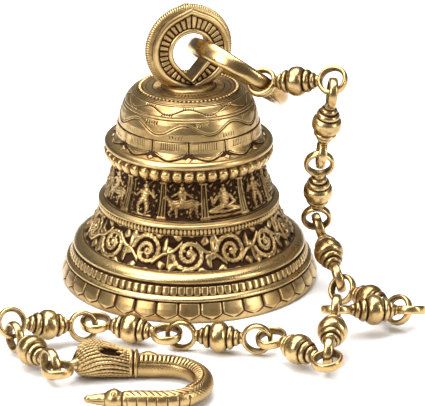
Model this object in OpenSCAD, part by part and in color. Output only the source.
// Hanging brass puja bell, standing on its mouth with its carrying ring,
// beaded chain and swan-neck hook laid out beside it.
// Millimetres, +Z up. Origin: centre of the mouth, on the plane of the rim.
// The front of the bell faces -Y.

/* [Bell] */
// Radius of the mouth rim
lip_r = 63.5; // [62:0.5:66]
// Height of the shoulder's flat top above the rim
bell_h = 98.9; // [98.9:0.5:101.4]
// Thickness of the cast wall
wall = 5; // [4:0.5:6]
// Radius of the beaded collar
collar_r = 41.6; // [41:0.2:42.6]
// Radius of the dome above the collar
dome_r = 34.6; // [34:0.2:35.6]
// Number of beads under the collar
collar_beads = 44; // [30:1:60]

/* [Crown loop] */
// Turn of the loop about the vertical axis, degrees
loop_turn = 17; // [10:1:24]
// Radius of the loop's round faces
loop_r = 19.4; // [19:0.2:20]
// Radius of the rib round the loop's edge
rib_r = 22; // [21:0.2:22.4]
// Thickness of the loop
loop_t = 12; // [10:1:14]
// Height of the pointed top above the rim
loop_top = 140.9; // [140.4:0.5:143.4]
// Radius of the hole in the loop
loop_hole_r = 9.4; // [9:0.1:10]
// Radius of the threaded stud under the loop
stud_r = 4; // [3:0.5:5]

/* [Clapper] */
// Radius of the clapper's ball
ball_r = 12.5; // [10:0.5:13]
// Radius of the clapper's stem
stem_r = 2.6; // [2:0.1:3.5]

/* [Carrying ring] */
// Radius from the ring's centre to the middle of its bar
ring_r = 25.6; // [25.4:0.2:26.6]
// Width of the bar, across the ring
ring_w = 7.6; // [7:0.2:8]
// Thickness of the bar, along the ring's radius
ring_t = 5.2; // [4.6:0.2:5.4]

/* [Chain] */
// Distance between the centres of a link's two eyes
link_c = 36; // [35.5:0.5:37]
// Radius of the hole in an eye
eye_hole_r = 5.2; // [5.1:0.1:5.4]
// Thickness of an eye's wall
eye_t = 2.4; // [2.2:0.1:2.5]
// Width of an eye's band
eye_w = 4.2; // [3.8:0.1:4.4]
// Radius of the big bead on each link
bead_r = 7.3; // [6.5:0.1:7.5]

/* [Hook] */
// Diameter of the swan's neck
neck_d = 9; // [8:0.5:10]
// Radius of the neck's half turn
neck_bend = 19; // [18:0.5:19.5]
// Radius of the swan's head
head_r = 5.2; // [4.5:0.1:5.6]

/* [Hidden] */
$fn = 96;
brass = "#b8923f";
light_brass = "#cfae62";
dark_brass = "#8a6a2c";
gap = 0.05;

// Heights of the bell's bands above the rim
lip_top = 12.4;
tongue_top = 17.4;
plain_top = 22;
scroll_top = 37.4;
ridge_top = 43.4;
frieze_top = 63.4;
collar_z = 66.6;
collar_top = 72;
dome_top = 82;
top_t = 5;
top_in = bell_h - top_t;

// Inside fittings hang under the crown
stud_hole_r = stud_r + 0.15;
washer_r = 10;
washer_t = 1.5;
nut_h = 6.5;
nut_af = 13;
washer_z = top_in - washer_t;
nut_z = washer_z - nut_h;
eye_nut_h = 6;
eye_nut_z = nut_z - eye_nut_h;
staple_r = 4.4;
staple_wire = 1.7;
eye_nut_floor = staple_wire + 0.3;
stud_end = eye_nut_z + eye_nut_floor + gap;
staple_z = eye_nut_z - staple_r;
shackle_r = 5.4;
shackle_wire = 1.4;
shackle_top = staple_z - staple_r + staple_wire + shackle_wire + 0.25;
shackle_z = shackle_top - shackle_r;
stem_eye_r = 4;
stem_eye_wire = 1.5;
stem_eye_top = shackle_z - shackle_r + shackle_wire + stem_eye_wire + 0.25;
stem_eye_z = stem_eye_top - stem_eye_r;
ball_z = ball_r + 6;
tail_r = 3.4;
tail_drop = 2.4;

// Carrying ring: leans to the right on the shoulder, threaded through the loop
ring_centre = [24.2, 4.9, 104.4];
ring_lean = 31;
ring_tip = 22.5;
link_seat = -60;

// Chain: [heading about Z, rise above level, roll of the eyes] for each link
links = [
    [-20, 8, 132], [112, -72, -111], [92, -68, -3], [-76, -22, 72],
    [-45, 0, -60], [-169, 5, -22], [-98, -10, -88], [134, 0, 12],
    [170, -1, 90], [160, 1, 7], [-159, 12, 63], [-60, 0, 90]
];
hook_turn = [-3, 0, 0];
link_n = len(links);
link_step = 6.8;
eye_r = eye_hole_r + eye_t;

// Frames of the links. turn_of gives the heading and the eyes' normal
function heading(a) = [cos(a[1]) * cos(a[0]), cos(a[1]) * sin(a[0]), sin(a[1])];
function side(a) = [-sin(a[0]), cos(a[0]), 0];
function eye_normal(a) =
    cos(a[2]) * cross(heading(a), side(a)) + sin(a[2]) * side(a);
function pose(i) = i < link_n ? links[i] : hook_turn;
// Two linked eyes share the line where their planes cross
function crossing(a, b) = let (k = cross(eye_normal(a), eye_normal(b)))
    k / norm(k) * (k * (heading(a) + heading(b)) < 0 ? -1 : 1);
function near_eye(i) = i == 0 ? ring_point(link_seat)
    : far_eye(i - 1) + link_step * crossing(pose(i - 1), pose(i));
function far_eye(i) = near_eye(i) + link_c * heading(pose(i));

// Ring frame: long_way points down the lean, deep_way across it
long_way = [cos(ring_lean), -sin(ring_lean) * sin(ring_tip), -sin(ring_lean) * cos(ring_tip)];
deep_way = [0, cos(ring_tip), -sin(ring_tip)];
function ring_point(a) = ring_centre + ring_r * (cos(a) * long_way + sin(a) * deep_way);

// ---------- shared shapes ----------

module ellipse_ring(r, half_t, half_w) {
    rotate_extrude()
        polygon([for (a = [0:15:345]) [r + half_t * cos(a), half_w * sin(a)]]);
}

// A flat band bent into an eye, with its edges broken
module eye() {
    chamfer = 0.7;
    half = eye_w / 2;
    rotate_extrude()
        polygon([
            [eye_hole_r, -half + chamfer], [eye_hole_r + chamfer, -half],
            [eye_r - chamfer, -half], [eye_r, -half + chamfer],
            [eye_r, half - chamfer], [eye_r - chamfer, half],
            [eye_hole_r + chamfer, half], [eye_hole_r, half - chamfer]
        ]);
}

// One bead ring of the link's turned body, r outside and w wide, centred at x
module bead_ring(x, r, w) {
    translate([x, 0, 0])
        rotate([0, 90, 0])
            rotate_extrude()
                polygon([
                    [0, -w / 2], [r - w / 3, -w / 2], [r - w / 10, -w / 4],
                    [r, 0], [r - w / 10, w / 4], [r - w / 3, w / 2], [0, w / 2]
                ]);
}

module chain_link() {
    middle = link_c / 2;
    core_r = 3.1;
    // [distance from the middle, radius, width] of the rings on one half
    rings = [[5.1, 5.9, 3.2], [8, 4.6, 2.4]];
    eye();
    translate([link_c, 0, 0]) eye();
    translate([eye_hole_r + eye_t / 2, 0, 0])
        rotate([0, 90, 0])
            cylinder(r = core_r, h = link_c - 2 * eye_hole_r - eye_t);
    bead_ring(middle, bead_r, 7.2);
    for (way = [-1, 1])
        for (b = rings)
            bead_ring(middle + way * b[0], b[1], b[2]);
}

module place_link(i) {
    a = pose(i);
    translate(near_eye(i))
        rotate([0, 0, a[0]])
            rotate([0, -a[1], 0])
                rotate([-a[2], 0, 0])
                    children();
}

// ---------- bell ----------

module bell_shell() {
    color(brass)
    difference() {
        union() {
            rotate_extrude($fn = 160) bell_profile();
            for (i = [0:collar_beads - 1])
                rotate([0, 0, (i + 0.5) * 360 / collar_beads])
                    translate([collar_r - 2, 0, collar_z])
                        sphere(r = 2, $fn = 24);
        }
        translate([0, 0, top_in - 1]) cylinder(r = stud_hole_r, h = top_t + 2);
    }
}

// Half section of the cast wall, outside from the lip up, inside back down
module bell_profile() {
    waist_r = lip_r - 19.5;
    polygon([
        // lip, its ridge and the tongues
        [lip_r, 0.8], [lip_r, 4], [lip_r - 3, lip_top - 2.8], [lip_r - 2.7, lip_top - 2],
        [lip_r - 3.3, lip_top - 0.6], [lip_r - 4.6, lip_top], [lip_r - 6.6, tongue_top],
        // plain band
        [lip_r - 6.2, tongue_top + 1], [lip_r - 7, tongue_top + 2.2], [lip_r - 9.2, plain_top - 0.4],
        // scroll band
        [lip_r - 11.2, plain_top], [lip_r - 14.3, plain_top + 4], [waist_r + 2.6, plain_top + 8.8],
        [waist_r + 0.6, scroll_top - 2.4], [waist_r, scroll_top],
        // ridge below the figures
        [waist_r + 0.2, scroll_top + 3], [waist_r + 0.6, ridge_top - 2],
        [waist_r + 0.3, ridge_top - 0.8], [waist_r - 1.6, ridge_top],
        // figure band, drawn in towards the collar
        [collar_r - 1, ridge_top + 4.1], [collar_r - 3, ridge_top + 9.6],
        [collar_r - 4.2, frieze_top - 5.4], [collar_r - 4.7, frieze_top],
        // collar
        [collar_r - 4.2, frieze_top + 0.6], [collar_r - 2, collar_top - 3],
        [collar_r - 0.4, collar_top - 2.4], [collar_r, collar_top - 1.4],
        [collar_r - 0.2, collar_top - 0.2], [collar_r - 1.2, collar_top + 0.8],
        [collar_r - 3, collar_top + 1.2],
        // dome and shoulder
        [dome_r + 0.4, collar_top + 1], [dome_r, dome_top], [dome_r - 0.5, dome_top + 3.5],
        [dome_r - 1.6, dome_top + 7.3], [dome_r - 2.9, dome_top + 10.4],
        [dome_r - 4.3, dome_top + 12.8], [dome_r - 6.2, dome_top + 14.8],
        [dome_r - 8.2, bell_h - 0.7], [dome_r - 9.6, bell_h - 0.2], [dome_r - 10.6, bell_h],
        [0, bell_h],
        // inside
        [0, top_in], [dome_r - wall - 10, top_in], [dome_r - wall - 5.4, dome_top + 9.4],
        [dome_r - wall - 1.6, dome_top + 4.8], [dome_r - wall - 0.2, dome_top - 1],
        [dome_r - wall + 0.2, collar_top - 1.4], [collar_r - wall - 4.4, frieze_top - 0.8],
        [collar_r - wall - 4, ridge_top + 14.6], [collar_r - wall - 3, ridge_top + 9.6],
        [collar_r - wall - 0.8, ridge_top + 3.6], [waist_r - wall - 0.8, ridge_top - 1.2],
        [waist_r - wall + 0.4, scroll_top - 0.4], [waist_r - wall + 3, plain_top + 8.8],
        [lip_r - wall - 11.1, plain_top], [lip_r - wall - 7.9, tongue_top - 0.4],
        [lip_r - wall - 3.9, 8], [lip_r - wall, 0], [lip_r - 0.8, 0]
    ]);
}

// ---------- crown ----------

// Outline of the loop, drawn upright in X and Y, with its pointed top
module loop_outline(r, tip) {
    touch = acos(r / tip);
    side_x = r * sin(touch);
    side_y = r * cos(touch);
    circle(r = r);
    polygon([[0, tip], [side_x, side_y], [0, 0], [-side_x, side_y]]);
}

// Teardrop hole, narrowing to the foot
module loop_hole(r, tip) {
    touch = acos(r / tip);
    side_x = r * sin(touch);
    side_y = r * cos(touch);
    circle(r = r);
    polygon([[0, -tip], [side_x, -side_y], [0, 0], [-side_x, -side_y]]);
}

module crown_loop() {
    foot_r = 13;
    foot_t = 2;
    foot_z = bell_h + gap;
    face_tip = 21.2;
    rib_tip = 22.4;
    rib_t = 5;
    centre_z = loop_top - rib_tip;
    hole_drop = 0.6;
    hole_tip = 14.6;
    flute_depth = 0.6;
    outer_rim = 2.8;
    inner_rim = 2;
    color(light_brass) {
        rotate([0, 0, loop_turn])
        intersection() {
            translate([0, 0, centre_z])
                rotate([90, 0, 0])
                    difference() {
                        union() {
                            translate([0, 0, -loop_t / 2])
                                linear_extrude(loop_t) loop_outline(loop_r, face_tip);
                            translate([0, 0, -rib_t / 2])
                                linear_extrude(rib_t) loop_outline(rib_r, rib_tip);
                        }
                        translate([0, -hole_drop, -loop_t])
                            linear_extrude(2 * loop_t) loop_hole(loop_hole_r, hole_tip);
                        for (face = [-1, 1])
                            translate([0, 0, face * loop_t / 2 - flute_depth])
                                linear_extrude(2 * flute_depth)
                                    difference() {
                                        loop_outline(loop_r - outer_rim, face_tip - outer_rim);
                                        translate([0, -hole_drop])
                                            loop_hole(loop_hole_r + inner_rim, hole_tip + 3);
                                    }
                    }
            translate([-50, -50, foot_z + foot_t / 2]) cube([100, 100, 60]);
        }
        translate([0, 0, foot_z]) cylinder(r = foot_r, h = foot_t);
        translate([0, 0, stud_end]) cylinder(r = stud_r - gap, h = foot_z - stud_end + 0.5);
    }
}

module crown_washer() {
    color(dark_brass)
    translate([0, 0, washer_z])
        difference() {
            cylinder(r = washer_r, h = washer_t - gap);
            translate([0, 0, -1]) cylinder(r = stud_hole_r, h = washer_t + 2);
        }
}

module crown_nut() {
    color(light_brass)
    translate([0, 0, nut_z])
        difference() {
            cylinder(d = nut_af / cos(30), h = nut_h - gap, $fn = 6);
            translate([0, 0, -1]) cylinder(r = stud_r, h = nut_h + 2);
        }
}

// ---------- clapper ----------

module clapper_eye_nut() {
    body_r = 6.5;
    color(light_brass) {
        translate([0, 0, eye_nut_z])
            difference() {
                cylinder(r = body_r, h = eye_nut_h - gap);
                translate([0, 0, eye_nut_floor]) cylinder(r = stud_r, h = eye_nut_h);
            }
        translate([0, 0, staple_z])
            rotate([90, 0, 0])
                rotate_extrude()
                    translate([staple_r, 0]) circle(r = staple_wire, $fn = 32);
    }
}

module clapper_shackle() {
    color(dark_brass)
    translate([0, 0, shackle_z])
        rotate([0, 90, 0])
            rotate_extrude()
                translate([shackle_r, 0]) circle(r = shackle_wire, $fn = 32);
}

module clapper_stem() {
    cone_r = 4;
    color(brass) {
        translate([0, 0, stem_eye_z])
            rotate([90, 0, 0])
                rotate_extrude()
                    translate([stem_eye_r, 0]) circle(r = stem_eye_wire, $fn = 32);
        translate([0, 0, ball_z - ball_r - tail_drop])
            cylinder(r = stem_r, h = stem_eye_z - stem_eye_r - ball_z + ball_r + tail_drop);
        translate([0, 0, ball_z - ball_r - tail_drop])
            cylinder(r = tail_r, h = tail_drop);
        translate([0, 0, ball_z + ball_r + gap])
            cylinder(r1 = cone_r, r2 = stem_r, h = cone_r);
    }
}

module clapper_ball() {
    color(brass)
    translate([0, 0, ball_z])
        difference() {
            sphere(r = ball_r);
            cylinder(r = stem_r + gap, h = 2 * ball_r + 2, center = true);
            translate([0, 0, -ball_r - 1]) cylinder(r = tail_r + gap, h = 1.4);
            translate([0, 0, ball_r - 0.3]) cylinder(r = 4.2, h = 1);
        }
}

// ---------- ring, chain and hook ----------

module carrying_ring() {
    color(light_brass)
    translate(ring_centre)
        rotate([-ring_tip, 0, 0])
            rotate([0, ring_lean, 0])
                ellipse_ring(ring_r, ring_t / 2, ring_w / 2);
}

module link_node(i) {
    color(i % 2 == 0 ? brass : light_brass)
    place_link(i) chain_link();
}

// The hook lies flat: a feathered body beside the eye, a long neck that turns
// back in a U, and a head with a blunt beak
module swan_hook() {
    neck_y = 14;
    neck_drop = -3.4;
    neck_start = 26;
    neck_reach = 67;
    turn_x = neck_reach - neck_bend;
    back_y = neck_y - 2 * neck_bend;
    back_d = neck_d - 0.6;
    head_x = 27;
    beak_x = 24;
    beak_len = 10;
    color(brass)
    place_link(link_n) {
        eye();
        hook_body(neck_y);
        translate([0, 0, neck_drop]) {
            translate([neck_start, neck_y, 0])
                rotate([0, 90, 0]) cylinder(d = neck_d, h = turn_x - neck_start);
            translate([turn_x, neck_y - neck_bend, 0]) neck_turn();
            translate([head_x, back_y, 0])
                rotate([0, 90, 0]) cylinder(d = back_d, h = turn_x - head_x);
            translate([head_x, back_y, 0]) sphere(r = head_r, $fn = 48);
            translate([beak_x, back_y, 0])
                rotate([0, -90, 0]) cylinder(r1 = 4, r2 = 1.2, h = beak_len);
        }
    }
}

module neck_turn() {
    rotate([0, 0, -90])
        rotate_extrude(angle = 180)
            translate([neck_bend, 0]) circle(d = neck_d, $fn = 48);
}

// Rounded body of the bird, with the shank that joins it to the eye
module hook_body(neck_y) {
    back_x = 14;
    collar_x = 31;
    shank_r = 2.1;
    hull() {
        translate([back_x, neck_y - 4, -2]) sphere(r = 6.5, $fn = 32);
        translate([back_x, neck_y + 3, 0]) sphere(r = 8, $fn = 32);
        translate([collar_x, neck_y, -2.4]) sphere(r = 6, $fn = 32);
    }
    hull() {
        translate([eye_r - 1, 3, 0]) sphere(r = shank_r, $fn = 24);
        translate([4, eye_r - 1, 0]) sphere(r = shank_r, $fn = 24);
        translate([back_x - 2, neck_y - 4, -1]) sphere(r = 4.5, $fn = 24);
    }
}

bell_shell();
crown_loop();
crown_washer();
crown_nut();
clapper_eye_nut();
clapper_shackle();
clapper_stem();
clapper_ball();
carrying_ring();
link_node(0);  // chain_link_01
link_node(1);  // chain_link_02
link_node(2);  // chain_link_03
link_node(3);  // chain_link_04
link_node(4);  // chain_link_05
link_node(5);  // chain_link_06
link_node(6);  // chain_link_07
link_node(7);  // chain_link_08
link_node(8);  // chain_link_09
link_node(9);  // chain_link_10
link_node(10);  // chain_link_11
link_node(11);  // chain_link_12
swan_hook();
